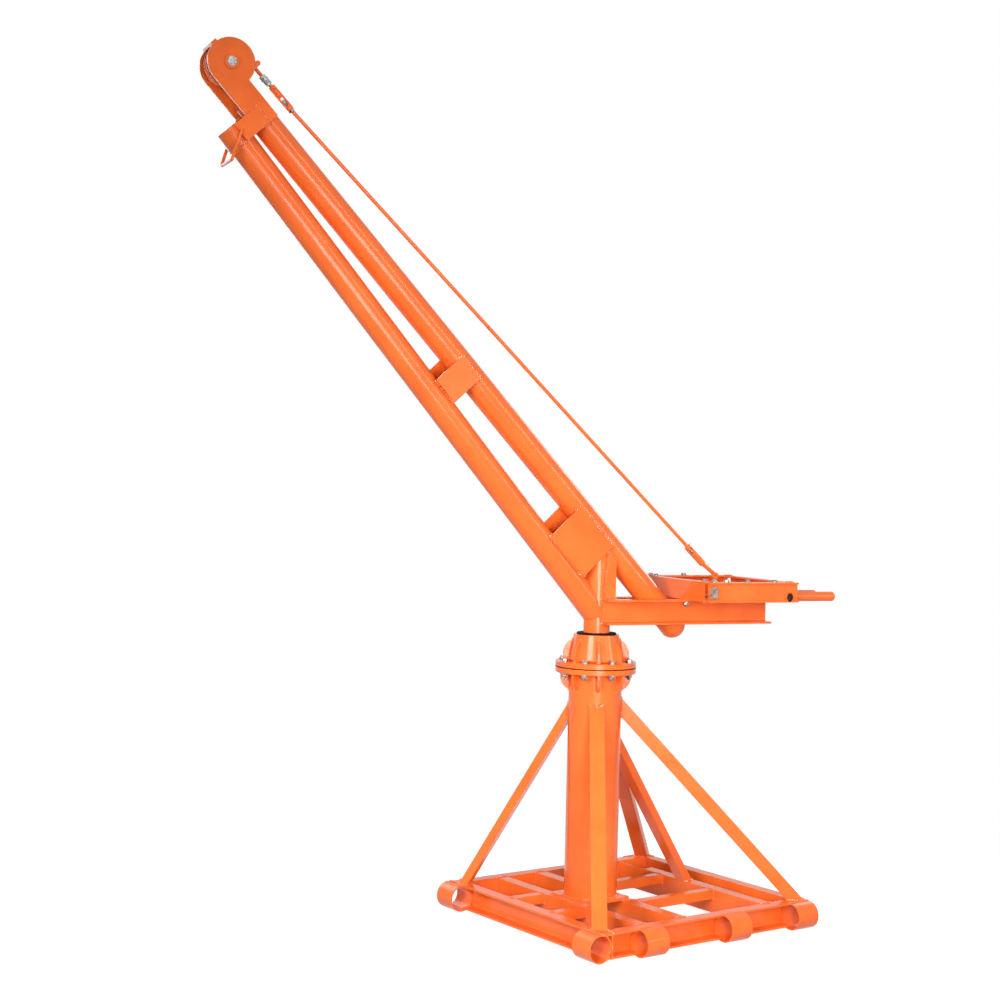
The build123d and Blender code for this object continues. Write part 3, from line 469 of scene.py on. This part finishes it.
seal_rubber = bpy.data.materials.new("seal_rubber")
seal_rubber.use_nodes = True
rubber_nodes = seal_rubber.node_tree.nodes
rubber_link = seal_rubber.node_tree.links.new
rubber_shader = rubber_nodes["Principled BSDF"]
rubber_place = rubber_nodes.new("ShaderNodeTexCoord")
rubber_grain = rubber_nodes.new("ShaderNodeTexNoise")
rubber_grain.inputs["Scale"].default_value = 600
rubber_grain.inputs["Detail"].default_value = 4
rubber_tone = rubber_nodes.new("ShaderNodeValToRGB")
rubber_tone.color_ramp.elements[0].color = (0.004, 0.004, 0.004, 1)
rubber_tone.color_ramp.elements[1].color = (0.012, 0.011, 0.011, 1)
rubber_bump = rubber_nodes.new("ShaderNodeBump")
rubber_bump.inputs["Strength"].default_value = 0.4
rubber_bump.inputs["Distance"].default_value = 0.0001
rubber_shader.inputs["Roughness"].default_value = 0.6
rubber_shader.inputs["Specular IOR Level"].default_value = 0.05
rubber_link(rubber_place.outputs["Object"], rubber_grain.inputs["Vector"])
rubber_link(rubber_grain.outputs["Fac"], rubber_tone.inputs["Fac"])
rubber_link(rubber_tone.outputs["Color"], rubber_shader.inputs["Base Color"])
rubber_link(rubber_grain.outputs["Fac"], rubber_bump.inputs["Height"])
rubber_link(rubber_bump.outputs["Normal"], rubber_shader.inputs["Normal"])
finish_nodes(seal_rubber, "seal_ring")

# Flange joint
# A thin dark ring stands a hair proud of the split between the two bolted flanges: painted shade
# for the shadowed gap, faintly mottled.
joint_height = 0.864
joint_inner = 0.1300
joint_outer = 0.1354
joint_half_gauge = 0.0017
split_shade = bpy.data.materials.new("split_shade")
split_shade.use_nodes = True
split_shade_nodes = split_shade.node_tree.nodes
split_shade_link = split_shade.node_tree.links.new
split_shade_shader = split_shade_nodes["Principled BSDF"]
split_shade_shader.inputs["Roughness"].default_value = 0.8
split_shade_shader.inputs["Specular IOR Level"].default_value = 0.05
split_shade_place = split_shade_nodes.new("ShaderNodeTexCoord")
split_shade_mottle = split_shade_nodes.new("ShaderNodeTexNoise")
split_shade_mottle.inputs["Scale"].default_value = 90
split_shade_mottle.inputs["Detail"].default_value = 4
split_shade_tone = split_shade_nodes.new("ShaderNodeValToRGB")
split_shade_tone.color_ramp.elements[0].color = (0.020, 0.005, 0.003, 1)
split_shade_tone.color_ramp.elements[1].color = (0.110, 0.016, 0.005, 1)
split_shade_link(split_shade_place.outputs["Object"], split_shade_mottle.inputs["Vector"])
split_shade_link(split_shade_mottle.outputs["Fac"], split_shade_tone.inputs["Fac"])
split_shade_link(split_shade_tone.outputs["Color"], split_shade_shader.inputs["Base Color"])


def seat(point, axis):
    """The place of a turned part that stands on a point along an axis."""
    return Matrix.Translation(point) @ Vector(axis).to_track_quat("Z", "X").to_matrix().to_4x4()


def turned(outline, where, sides=20):
    """Points and faces of a solid turned from (radius, height) steps, closed at both ends."""
    points = []
    faces = []
    for radius, height in outline:
        for side in range(sides):
            turn = 2 * math.pi * side / sides
            points.append(where @ Vector((radius * math.cos(turn), radius * math.sin(turn),
                                          height)))
    for ring in range(len(outline) - 1):
        for side in range(sides):
            following = (side + 1) % sides
            faces.append((ring * sides + side, ring * sides + following,
                          (ring + 1) * sides + following, (ring + 1) * sides + side))
    faces.append(tuple(reversed(range(sides))))
    faces.append(tuple((len(outline) - 1) * sides + side for side in range(sides)))
    return points, faces


joint_outline = [(joint_inner, -joint_half_gauge), (joint_outer, -joint_half_gauge),
                 (joint_outer, joint_half_gauge), (joint_inner, joint_half_gauge)]
# The dark ring is painted shade along the flanges' split.
joint_ring = turned(joint_outline, Matrix.Translation((0, 0, joint_height)), 96)
add_piece("flange_joint", [joint_ring], split_shade, "stand")

# Flange bolts
# Eight M12 bolts with washers, heads up and nuts down, in bright zinc plating.
flange_bolts = 8
flange_bolt_radius = 0.1175
flange_bolt_heading = math.radians(-34 + 22.5)
flange_top = 0.883
flange_foot = 0.845
m12 = {"across": 0.018, "head": 0.0075, "nut": 0.0100, "washer": 0.012, "shank": 0.0060}
washer_gauge = 0.0025
coarse_pitch = 0.00175


def zinc_plating(name, brightness, stain):
    """Bright zinc plate on steel, with faint yellowish stains and fine brushing."""
    plate = bpy.data.materials.new(name)
    plate.use_nodes = True
    nodes = plate.node_tree.nodes
    link = plate.node_tree.links.new
    shader = nodes["Principled BSDF"]
    shader.inputs["Metallic"].default_value = 1.0
    place = nodes.new("ShaderNodeTexCoord")
    stains = nodes.new("ShaderNodeTexNoise")
    stains.inputs["Scale"].default_value = 140
    stains.inputs["Detail"].default_value = 5
    tone = nodes.new("ShaderNodeValToRGB")
    tone.color_ramp.elements[0].position = 0.35
    tone.color_ramp.elements[0].color = stain
    tone.color_ramp.elements[1].position = 0.6
    tone.color_ramp.elements[1].color = brightness
    dulling = nodes.new("ShaderNodeMapRange")
    dulling.inputs["To Min"].default_value = 0.24
    dulling.inputs["To Max"].default_value = 0.46
    grain = nodes.new("ShaderNodeTexNoise")
    grain.inputs["Scale"].default_value = 1500
    rough = nodes.new("ShaderNodeBump")
    rough.inputs["Strength"].default_value = 0.25
    rough.inputs["Distance"].default_value = 0.00005
    link(place.outputs["Object"], stains.inputs["Vector"])
    link(place.outputs["Object"], grain.inputs["Vector"])
    link(stains.outputs["Fac"], tone.inputs["Fac"])
    link(tone.outputs["Color"], shader.inputs["Base Color"])
    link(stains.outputs["Fac"], dulling.inputs["Value"])
    link(dulling.outputs["Result"], shader.inputs["Roughness"])
    link(grain.outputs["Fac"], rough.inputs["Height"])
    link(rough.outputs["Normal"], shader.inputs["Normal"])
    return plate


def hexagon(across, height, where):
    """Points and faces of a hex head or nut with its corners turned off at the top."""
    points = []
    faces = []
    corner = across / math.sqrt(3)
    flat = across / 2
    drop = 0.12 * across
    sides = 12
    levels = ((corner, flat, 0, 0), (corner, flat, height - drop, height - 0.25 * drop),
              (0.94 * flat, 0.94 * flat, height, height))
    for corner_radius, flat_radius, corner_height, flat_height in levels:
        for side in range(sides):
            turn = 2 * math.pi * side / sides
            on_corner = side % 2 == 0
            radius = corner_radius if on_corner else flat_radius
            height_here = corner_height if on_corner else flat_height
            points.append(where @ Vector((radius * math.cos(turn), radius * math.sin(turn),
                                          height_here)))
    for ring in range(len(levels) - 1):
        for side in range(sides):
            following = (side + 1) % sides
            faces.append((ring * sides + side, ring * sides + following,
                          (ring + 1) * sides + following, (ring + 1) * sides + side))
    faces.append(tuple(reversed(range(sides))))
    faces.append(tuple(2 * sides + side for side in range(sides)))
    return points, faces


def washer(radius, gauge, where):
    """Points and faces of a washer with broken edges."""
    break_edge = 0.2 * gauge
    return turned([(radius - break_edge, 0), (radius, break_edge), (radius, gauge - break_edge),
                   (radius - break_edge, gauge)], where, 28)


def thread(radius, pitch, length, where):
    """Points and faces of a threaded end, ridge by ridge, with a broken tip."""
    outline = []
    depth = 0.55 * pitch
    for ridge in range(int(length / pitch)):
        outline.append((radius - depth, ridge * pitch))
        outline.append((radius, (ridge + 0.5) * pitch))
    outline.append((radius - depth, length))
    outline.append((radius - 2 * depth, length + 0.4 * pitch))
    return turned(outline, where, 16)


bright_zinc = zinc_plating("bright_zinc", (0.44, 0.44, 0.43, 1), (0.15, 0.135, 0.11, 1))
bolt_parts = []
for bolt in range(flange_bolts):
    heading = flange_bolt_heading + 2 * math.pi * bolt / flange_bolts
    across = Vector((math.cos(heading), math.sin(heading), 0)) * flange_bolt_radius
    top = across + Vector((0, 0, flange_top))
    foot = across + Vector((0, 0, flange_foot))
    spin = Matrix.Rotation(0.6 + 1.3 * bolt, 4, "Z")
    spin_under = Matrix.Rotation(0.2 + 0.9 * bolt, 4, "Z")
    above = seat(top, (0, 0, 1))
    below = seat(foot, (0, 0, -1))
    bolt_parts.append(washer(m12["washer"], washer_gauge, above))
    bolt_parts.append(hexagon(m12["across"], m12["head"],
                              above @ Matrix.Translation((0, 0, washer_gauge)) @ spin))
    bolt_parts.append(washer(m12["washer"], washer_gauge, below))
    bolt_parts.append(hexagon(m12["across"], m12["nut"],
                              below @ Matrix.Translation((0, 0, washer_gauge)) @ spin_under))
    bolt_parts.append(thread(m12["shank"], coarse_pitch, 0.006, below
                             @ Matrix.Translation((0, 0, washer_gauge + m12["nut"]))))
add_piece("flange_bolts", bolt_parts, bright_zinc, "stand")

# Column and jib tubes
# The column turns in the housing and carries both jib tubes. Side plates tie the tubes together,
# and gusset strips close the corner over the beams. Every plate is welded along its edges.
jib_enamel = orange_enamel("jib_enamel", 0.14, 0.00001, 0.0010, (0.17, 0.26))
plate_enamel = orange_enamel("plate_enamel", 0.10, 0.00005, 0.0016, (0.15, 0.28))
jib_bead = 0.0046
plate_reach = 0.012
finish_nodes(jib_enamel, "column", "boom_lower", "boom_upper")
finish_nodes(plate_enamel, "column_gussets", "tie_plates_lower", "tie_plates_upper")
weld("jib_welds", [
    ("column", "boom_upper"), ("column_gussets", "beams"), ("beams", "column"),
    ("column_gussets", "boom_upper"),
], painted_light_bead_enamel, "jib", jib_bead)
weld("gusset_welds", [("column_gussets", "column")], painted_light_bead_enamel, "jib", jib_bead, plate_reach)
weld("tie_plate_welds", [
    ("tie_plates_lower", "boom_upper"), ("tie_plates_lower", "boom_lower"),
    ("tie_plates_upper", "boom_upper"), ("tie_plates_upper", "boom_lower"),
], painted_light_bead_enamel, "jib", jib_bead, plate_reach)

# Jib head
# Cheeks and a wrap-round strap close the tubes' ends. The sheave turns between the cheeks on a
# zinc plated pin, and a bent ring for the rope's end hangs in the strap.
sheave_enamel = orange_enamel("sheave_enamel", 0.05, 0.00001, 0.0008, (0.26, 0.40))
pin_zinc = zinc_plating("pin_zinc", (0.42, 0.42, 0.41, 1), (0.16, 0.15, 0.13, 1))
finish_nodes(plate_enamel, "head_strap", "head_cheeks")
finish_nodes(sheave_enamel, "sheave", "drop_ring")
finish_nodes(pin_zinc, "sheave_pin")
weld("head_welds", [
    ("head_strap", "boom_lower"), ("head_strap", "boom_upper"), ("head_cheeks", "head_strap"),
    ("head_cheeks", "boom_upper"), ("stay_anchor", "head_cheeks"),
], painted_light_bead_enamel, "jib", rib_bead)

# Beams, ballast tray and push bars
# A pair of channel beams behind the column carries an open tray of channel section, with flat
# bearers for the weights. Two pipes through the tray's end are the handles for turning the jib.
tray_enamel = orange_enamel("tray_enamel", 0.10, 0.00005, 0.0016)
finish_nodes(tray_enamel, "beams", "tray_sides", "tray_ends", "tray_bearers", "push_bars")
weld("tray_welds", [
    ("tray_ends", "tray_sides"), ("tray_ends", "beams"), ("tray_bearers", "beams"),
    ("tray_ends", "push_bars"),
], painted_light_bead_enamel, "jib", rib_bead)

# Tray fittings
# A cement plug fills the oval socket in the near rail. The smaller one beside the bars is open,
# with a very dark cup a little way in as painted shade for its deep bore. Zinc bolts stand along
# the rails and the end channel, with nuts under the beams.
jib_heading = math.radians(258.2)
jib_out = Vector((math.cos(jib_heading), math.sin(jib_heading), 0))
jib_near = Vector((-jib_out.y, jib_out.x, 0))
tray_top = 1.159
rail_face = 0.241
plug_width = 0.0330
plug_height = 0.0440
plug_recess = 0.0025
m10 = {"across": 0.016, "head": 0.0064, "washer": 0.0100}
m10_washer_gauge = 0.0020
beam_foot = 1.0845


def on_jib(reach, height, side):
    """A point of the jib: reach out along it, height above ground, side towards the near rail."""
    return jib_out * reach + Vector((0, 0, height)) + jib_near * side


plug_cement = bpy.data.materials.new("plug_cement")
plug_cement.use_nodes = True
cement_nodes = plug_cement.node_tree.nodes
cement_link = plug_cement.node_tree.links.new
cement_shader = cement_nodes["Principled BSDF"]
cement_shader.inputs["Roughness"].default_value = 0.85
cement_place = cement_nodes.new("ShaderNodeTexCoord")
cement_grit = cement_nodes.new("ShaderNodeTexVoronoi")
cement_grit.inputs["Scale"].default_value = 420
cement_stain = cement_nodes.new("ShaderNodeTexNoise")
cement_stain.inputs["Scale"].default_value = 130
cement_stain.inputs["Detail"].default_value = 6
cement_tone = cement_nodes.new("ShaderNodeValToRGB")
cement_tone.color_ramp.elements[0].position = 0.32
cement_tone.color_ramp.elements[0].color = (0.105, 0.075, 0.060, 1)
cement_tone.color_ramp.elements[1].position = 0.66
cement_tone.color_ramp.elements[1].color = (0.37, 0.29, 0.24, 1)
cement_bump = cement_nodes.new("ShaderNodeBump")
cement_bump.inputs["Strength"].default_value = 0.8
cement_bump.inputs["Distance"].default_value = 0.0008
cement_link(cement_place.outputs["Object"], cement_grit.inputs["Vector"])
cement_link(cement_place.outputs["Object"], cement_stain.inputs["Vector"])
cement_link(cement_stain.outputs["Fac"], cement_tone.inputs["Fac"])
cement_link(cement_tone.outputs["Color"], cement_shader.inputs["Base Color"])
cement_link(cement_grit.outputs["Distance"], cement_bump.inputs["Height"])
cement_link(cement_bump.outputs["Normal"], cement_shader.inputs["Normal"])

plug_sides = 32
plug_straight = (plug_height - plug_width) / 2
plug_points = []
for share, depth in ((0.97, -0.006), (0.97, -plug_recess), (0.7, 0.0006 - plug_recess),
                     (0.3, 0.0002 - plug_recess)):
    for side in range(plug_sides):
        turn = 2 * math.pi * side / plug_sides
        lift = plug_straight * (1 if math.sin(turn) > 0 else -1)
        rough = 0.0006 * noise.noise(Vector((5 * math.cos(turn), 5 * math.sin(turn), 40 * share)))
        plug_points.append(on_jib(-0.310 + share * plug_width / 2 * math.cos(turn),
                                  1.124 + share * (lift + plug_width / 2 * math.sin(turn)),
                                  rail_face + depth + rough))
plug_faces = []
for ring in range(3):
    for side in range(plug_sides):
        following = (side + 1) % plug_sides
        plug_faces.append((ring * plug_sides + side, ring * plug_sides + following,
                           (ring + 1) * plug_sides + following, (ring + 1) * plug_sides + side))
plug_faces.append(tuple(range(plug_sides)))
plug_faces.append(tuple(3 * plug_sides + side for side in range(plug_sides)))
add_piece("socket_plug", [(plug_points, plug_faces)], plug_cement, "jib")

# Very dark, faintly mottled paint for the cup: painted shade inside the open socket.
socket_shade_paint = bpy.data.materials.new("socket_shade_paint")
socket_shade_paint.use_nodes = True
bore_nodes = socket_shade_paint.node_tree.nodes
bore_link = socket_shade_paint.node_tree.links.new
bore_shader = bore_nodes["Principled BSDF"]
bore_shader.inputs["Roughness"].default_value = 0.7
bore_place = bore_nodes.new("ShaderNodeTexCoord")
socket_shade_mottle = bore_nodes.new("ShaderNodeTexNoise")
socket_shade_mottle.inputs["Scale"].default_value = 200
socket_shade_mottle.inputs["Detail"].default_value = 5
socket_shade_tone = bore_nodes.new("ShaderNodeValToRGB")
socket_shade_tone.color_ramp.elements[0].color = (0.010, 0.003, 0.002, 1)
socket_shade_tone.color_ramp.elements[1].color = (0.070, 0.016, 0.006, 1)
bore_link(bore_place.outputs["Object"], socket_shade_mottle.inputs["Vector"])
bore_link(socket_shade_mottle.outputs["Fac"], socket_shade_tone.inputs["Fac"])
bore_link(socket_shade_tone.outputs["Color"], bore_shader.inputs["Base Color"])
cup_seat = seat(on_jib(-0.606, 1.109, rail_face - 0.002), -jib_near)
cup_outline = [(0.0123, 0), (0.0123, 0.012), (0.0002, 0.012)]
cup_points, cup_faces = turned(cup_outline, cup_seat, 28)
cup_faces = cup_faces[:-2]
cup_middle = on_jib(-0.606, 1.109, 0)
cup_points = [cup_middle + (point - cup_middle) + Vector((0, 0, 0.2 * (point - cup_middle).z))
              for point in cup_points]
add_piece("open_socket_shade", [(cup_points, cup_faces)], socket_shade_paint, "jib")

tray_bolts = []
for reach, side in ((-0.320, 0.222), (-0.366, 0.222), (-0.448, 0.222), (-0.555, 0.222),
                    (-0.317, -0.205), (-0.450, -0.205), (-0.575, -0.205),
                    (-0.306, 0.186), (-0.306, -0.150)):
    above = seat(on_jib(reach, tray_top, side), (0, 0, 1))
    spin = Matrix.Rotation(9 * reach, 4, "Z")
    tray_bolts.append(washer(m10["washer"], m10_washer_gauge, above))
    tray_bolts.append(hexagon(m10["across"], m10["head"],
                              above @ Matrix.Translation((0, 0, m10_washer_gauge)) @ spin))
for side in (0.068, -0.068):
    under = seat(on_jib(-0.305, beam_foot, side), (0, 0, -1))
    tray_bolts.append(washer(m12["washer"], washer_gauge, under))
    tray_bolts.append(hexagon(m12["across"], m12["nut"],
                              under @ Matrix.Translation((0, 0, washer_gauge))))
    tray_bolts.append(thread(m12["shank"], coarse_pitch, 0.005, under
                             @ Matrix.Translation((0, 0, washer_gauge + m12["nut"]))))
add_piece("tray_bolts", tray_bolts, bright_zinc, "jib")

# Stay
# A painted rod runs from a zinc jaw at the jib head down to an eye bolt on the tray, with an
# open turnbuckle at each end. Their threads are bare zinc, and tie wires lock them.
stay_enamel = orange_enamel("stay_enamel", 0.05, 0.00001, 0.0003, (0.20, 0.34))
finish_nodes(stay_enamel, "stay_rod", "stay_eye_bolt")
head_rod_start = on_jib(1.2263, 2.7253, 0)
jaw_start = on_jib(1.2003, 2.6988, 0)
jaw_end = on_jib(1.1727, 2.6743, 0)
upper_body_end = on_jib(1.1064, 2.6084, 0)
lower_body_top = on_jib(-0.3400, 1.2700, 0)
lower_body_end = on_jib(-0.4080, 1.2075, 0)
eye_edge = on_jib(-0.4500, 1.1770, 0)
head_rod_radius = 0.0062
upper_body_width = 0.021
lower_body_width = 0.022
side_bar_width = 0.009
side_bar_gauge = 0.005
drilled_end = 0.014
jaw_half = 0.0075
jaw_width = 0.016
jaw_gauge = 0.004
jaw_pin_radius = 0.0045
jaw_pin_half = 0.014
jaw_nut_seat = 0.0096
jaw_nut_across = 0.014
jaw_nut_height = 0.006
stay_thread_radius = 0.0068
tie_wire_radius = 0.0009


def round_bar(start, end, radius, sides=16):
    """Points and faces of a round bar between two points, with broken ends."""
    length = (end - start).length
    where = seat(start, end - start)
    ease = min(0.25 * radius, 0.2 * length)
    return turned([(radius - ease, 0), (radius, ease), (radius, length - ease),
                   (radius - ease, length)], where, sides)


def flat_bar(start, end, sideways, width, gauge):
    """Points and faces of a flat bar between two points, with its width along sideways."""
    along = (end - start).normalized()
    wide = (sideways - along * sideways.dot(along)).normalized()
    thick = along.cross(wide)
    ease = 0.25 * gauge
    section = []
    for x, y in ((-1, -1), (1, -1), (1, 1), (-1, 1)):
        corner_x = wide * (x * width / 2)
        corner_y = thick * (y * gauge / 2)
        cut_x = wide * (x * ease)
        cut_y = thick * (y * ease)
        pair = [corner_x + corner_y - cut_y, corner_x + corner_y - cut_x]
        section.extend(pair if x * y > 0 else reversed(pair))
    count = len(section)
    points = [start + corner for corner in section] + [end + corner for corner in section]
    faces = [(corner, (corner + 1) % count, count + (corner + 1) % count, count + corner)
             for corner in range(count)]
    faces.append(tuple(reversed(range(count))))
    faces.append(tuple(count + corner for corner in range(count)))
    return points, faces


def turnbuckle_body(top, end, width):
    """The painted parts of an open turnbuckle: two side bars between two drilled ends."""
    along = (end - top).normalized()
    across = along.cross(jib_near).normalized()
    parts = []
    for hand in (-1, 1):
        offset = across * (hand * (width / 2 - side_bar_gauge / 2))
        parts.append(flat_bar(top + offset + along * 0.006, end + offset - along * 0.006,
                              jib_near, side_bar_width, side_bar_gauge))
    parts.append(round_bar(top, top + along * drilled_end, width / 2))
    parts.append(round_bar(end - along * drilled_end, end, width / 2))
    return parts


painted_parts = [round_bar(head_rod_start, jaw_start, head_rod_radius)]
zinc_parts = []
jaw_along = (jaw_end - jaw_start).normalized()
jaw_across = jaw_along.cross(jib_near).normalized()
painted_parts += turnbuckle_body(jaw_end, upper_body_end, upper_body_width)
painted_parts.append(round_bar(jaw_end + jaw_along * 0.004, jaw_end + jaw_along * 0.046, 0.0085))
for hand in (-1, 1):
    cheek_shift = jib_near * (hand * jaw_half)
    zinc_parts.append(flat_bar(jaw_start + cheek_shift - jaw_along * 0.004,
                               jaw_end + cheek_shift - jaw_along * 0.006, jaw_across,
                               jaw_width, jaw_gauge))
zinc_parts.append(round_bar(jaw_end - jaw_along * 0.011, jaw_end - jaw_along * 0.005, 0.0095))
zinc_parts.append(round_bar(jaw_end - jaw_along * 0.006, jaw_end + jaw_along * 0.004, 0.0060))
jaw_pin = jaw_start + jaw_along * 0.010
zinc_parts.append(round_bar(jaw_pin - jib_near * jaw_pin_half, jaw_pin + jib_near * jaw_pin_half,
                            jaw_pin_radius))
for outward in (jib_near, -jib_near):
    zinc_parts.append(hexagon(jaw_nut_across, jaw_nut_height,
                              seat(jaw_pin + outward * jaw_nut_seat, outward)))
upper_thread_end = upper_body_end - jaw_along * 0.012
zinc_parts.append(thread(stay_thread_radius, coarse_pitch, 0.026,
                         seat(upper_thread_end, -jaw_along)))
zinc_parts.append(hexagon(0.019, 0.007, seat(upper_body_end, jaw_along)))

lower_along = (lower_body_end - lower_body_top).normalized()
painted_parts += turnbuckle_body(lower_body_top, lower_body_end, lower_body_width)
painted_parts.append(round_bar(lower_body_top + lower_along * 0.034,
                               lower_body_end - lower_along * 0.004, 0.0088))
painted_parts.append(round_bar(lower_body_end - lower_along * 0.002, eye_edge, 0.0070))
zinc_parts.append(thread(stay_thread_radius, coarse_pitch, 0.024,
                         seat(lower_body_top + lower_along * 0.012, lower_along)))
upper_fittings = add_piece("stay_turnbuckles", painted_parts, stay_enamel, "jib")
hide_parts("stay_anchor", "turnbuckle_upper", "turnbuckle_lower")
add_piece("stay_jaw", zinc_parts, bright_zinc, "jib")

wire_parts = []
for knot, lean in ((lower_body_top, 0.3), (lower_body_top + lower_along * 0.008, -0.4),
                   (lower_body_end + lower_along * 0.010, 0.2), (upper_body_end, -0.2)):
    tail = (-jib_out * 0.2 + Vector((0, 0, lean)) + jib_near * 0.4).normalized()
    wire_parts.append(round_bar(knot - tail * 0.006, knot + tail * 0.019, tie_wire_radius,
                                8))
add_piece("tie_wires", wire_parts, bright_zinc, "jib")
